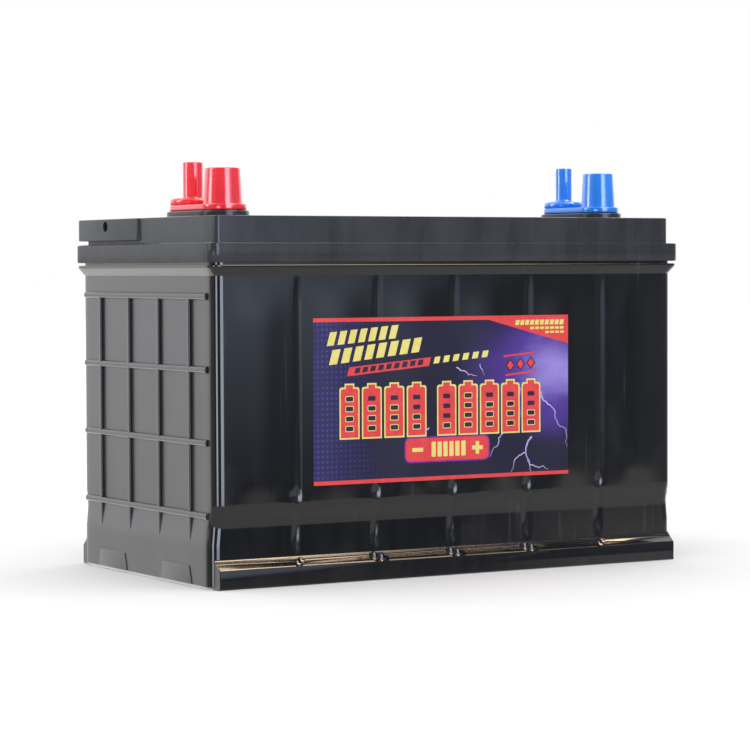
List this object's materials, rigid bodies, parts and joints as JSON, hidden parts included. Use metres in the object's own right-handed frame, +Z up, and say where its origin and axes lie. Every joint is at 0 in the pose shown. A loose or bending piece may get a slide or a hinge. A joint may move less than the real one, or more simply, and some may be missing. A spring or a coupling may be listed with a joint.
{
  "type": "deep cycle battery",
  "caption": "Flooded deep cycle battery in a ribbed black case with a flanged lid, base ledges and capped dual terminals, each a tapered post beside a stud.",
  "frame": {"origin": "centre of the base, on the surface it stands on", "axes": "+X along the length from the positive to the negative end, +Y from the labelled side to the back, +Z up"},
  "size_m": [0.305, 0.172, 0.2291],
  "materials": {
    "case_black": "glossy moulded polypropylene, satin on the ribbed ends",
    "lid_black": "satin moulded polypropylene",
    "frit": "porous sintered plastic",
    "label_print": "printed glossy film",
    "lead": "cast lead alloy, dull",
    "stud_steel": "stainless, threaded",
    "cap_red": "soft moulded vinyl, glossy",
    "cap_blue": "soft moulded vinyl, glossy",
    "plug_black": "satin moulded polypropylene",
    "seal_rubber": "matt elastomer",
    "positive_plate": "pasted grid, dark brown lead dioxide",
    "negative_plate": "pasted grid, grey sponge lead",
    "separator": "ribbed porous polyethylene sheet"
  },
  "bodies": {
    "case": {"container": "case_black", "lid": "lid_black", "flame_arrestor": "frit", "label": "label_print", "positive_terminal": "lead", "positive_stud": "stud_steel", "negative_terminal": "lead", "negative_stud": "stud_steel", "positive_plates_cell_1": "positive_plate", "negative_plates_cell_1": "negative_plate", "separators_cell_1": "separator", "positive_strap_cell_1": "lead", "negative_strap_cell_1": "lead", "positive_plates_cell_2": "positive_plate", "negative_plates_cell_2": "negative_plate", "separators_cell_2": "separator", "positive_strap_cell_2": "lead", "negative_strap_cell_2": "lead", "positive_plates_cell_3": "positive_plate", "negative_plates_cell_3": "negative_plate", "separators_cell_3": "separator", "positive_strap_cell_3": "lead", "negative_strap_cell_3": "lead", "positive_plates_cell_4": "positive_plate", "negative_plates_cell_4": "negative_plate", "separators_cell_4": "separator", "positive_strap_cell_4": "lead", "negative_strap_cell_4": "lead", "positive_plates_cell_5": "positive_plate", "negative_plates_cell_5": "negative_plate", "separators_cell_5": "separator", "positive_strap_cell_5": "lead", "negative_strap_cell_5": "lead", "positive_plates_cell_6": "positive_plate", "negative_plates_cell_6": "negative_plate", "separators_cell_6": "separator", "positive_strap_cell_6": "lead", "negative_strap_cell_6": "lead"},
    "positive_cap": {"positive_cap": "cap_red"},
    "negative_cap": {"negative_cap": "cap_blue"},
    "vent_oring_1": {"vent_oring_1": "seal_rubber"},
    "vent_plug_1": {"vent_plug_1": "plug_black"},
    "vent_oring_2": {"vent_oring_2": "seal_rubber"},
    "vent_plug_2": {"vent_plug_2": "plug_black"},
    "vent_oring_3": {"vent_oring_3": "seal_rubber"},
    "vent_plug_3": {"vent_plug_3": "plug_black"},
    "vent_oring_4": {"vent_oring_4": "seal_rubber"},
    "vent_plug_4": {"vent_plug_4": "plug_black"},
    "vent_oring_5": {"vent_oring_5": "seal_rubber"},
    "vent_plug_5": {"vent_plug_5": "plug_black"},
    "vent_oring_6": {"vent_oring_6": "seal_rubber"},
    "vent_plug_6": {"vent_plug_6": "plug_black"}
  },
  "joints": [
    {"name": "positive_cap_pull", "type": "slide", "parent": "case", "child": "positive_cap", "axis": [0, 0, 1], "range_m": [0, 0.045]},
    {"name": "negative_cap_pull", "type": "slide", "parent": "case", "child": "negative_cap", "axis": [0, 0, 1], "range_m": [0, 0.045]},
    {"name": "vent_plug_1_lift", "type": "slide", "parent": "case", "child": "vent_oring_1", "axis": [0, 0, 1], "range_m": [0, 0.0163]},
    {"name": "vent_plug_1_turn", "type": "hinge", "parent": "vent_oring_1", "child": "vent_plug_1", "pos_m": [-0.12325, 0.022, 0.1937], "axis": [0, 0, 1], "range_deg": [0, 2340]},
    {"name": "vent_plug_2_lift", "type": "slide", "parent": "case", "child": "vent_oring_2", "axis": [0, 0, 1], "range_m": [0, 0.0163]},
    {"name": "vent_plug_2_turn", "type": "hinge", "parent": "vent_oring_2", "child": "vent_plug_2", "pos_m": [-0.07395, 0.022, 0.1937], "axis": [0, 0, 1], "range_deg": [0, 2340]},
    {"name": "vent_plug_3_lift", "type": "slide", "parent": "case", "child": "vent_oring_3", "axis": [0, 0, 1], "range_m": [0, 0.0163]},
    {"name": "vent_plug_3_turn", "type": "hinge", "parent": "vent_oring_3", "child": "vent_plug_3", "pos_m": [-0.02465, 0.022, 0.1937], "axis": [0, 0, 1], "range_deg": [0, 2340]},
    {"name": "vent_plug_4_lift", "type": "slide", "parent": "case", "child": "vent_oring_4", "axis": [0, 0, 1], "range_m": [0, 0.0163]},
    {"name": "vent_plug_4_turn", "type": "hinge", "parent": "vent_oring_4", "child": "vent_plug_4", "pos_m": [0.02465, 0.022, 0.1937], "axis": [0, 0, 1], "range_deg": [0, 2340]},
    {"name": "vent_plug_5_lift", "type": "slide", "parent": "case", "child": "vent_oring_5", "axis": [0, 0, 1], "range_m": [0, 0.0163]},
    {"name": "vent_plug_5_turn", "type": "hinge", "parent": "vent_oring_5", "child": "vent_plug_5", "pos_m": [0.07395, 0.022, 0.1937], "axis": [0, 0, 1], "range_deg": [0, 2340]},
    {"name": "vent_plug_6_lift", "type": "slide", "parent": "case", "child": "vent_oring_6", "axis": [0, 0, 1], "range_m": [0, 0.0163]},
    {"name": "vent_plug_6_turn", "type": "hinge", "parent": "vent_oring_6", "child": "vent_plug_6", "pos_m": [0.12325, 0.022, 0.1937], "axis": [0, 0, 1], "range_deg": [0, 2340]}
  ],
  "couplings": [
    {"joint": "vent_plug_1_lift", "follows": "vent_plug_1_turn", "m_per_rad": 0.00039789},
    {"joint": "vent_plug_2_lift", "follows": "vent_plug_2_turn", "m_per_rad": 0.00039789},
    {"joint": "vent_plug_3_lift", "follows": "vent_plug_3_turn", "m_per_rad": 0.00039789},
    {"joint": "vent_plug_4_lift", "follows": "vent_plug_4_turn", "m_per_rad": 0.00039789},
    {"joint": "vent_plug_5_lift", "follows": "vent_plug_5_turn", "m_per_rad": 0.00039789},
    {"joint": "vent_plug_6_lift", "follows": "vent_plug_6_turn", "m_per_rad": 0.00039789}
  ]
}
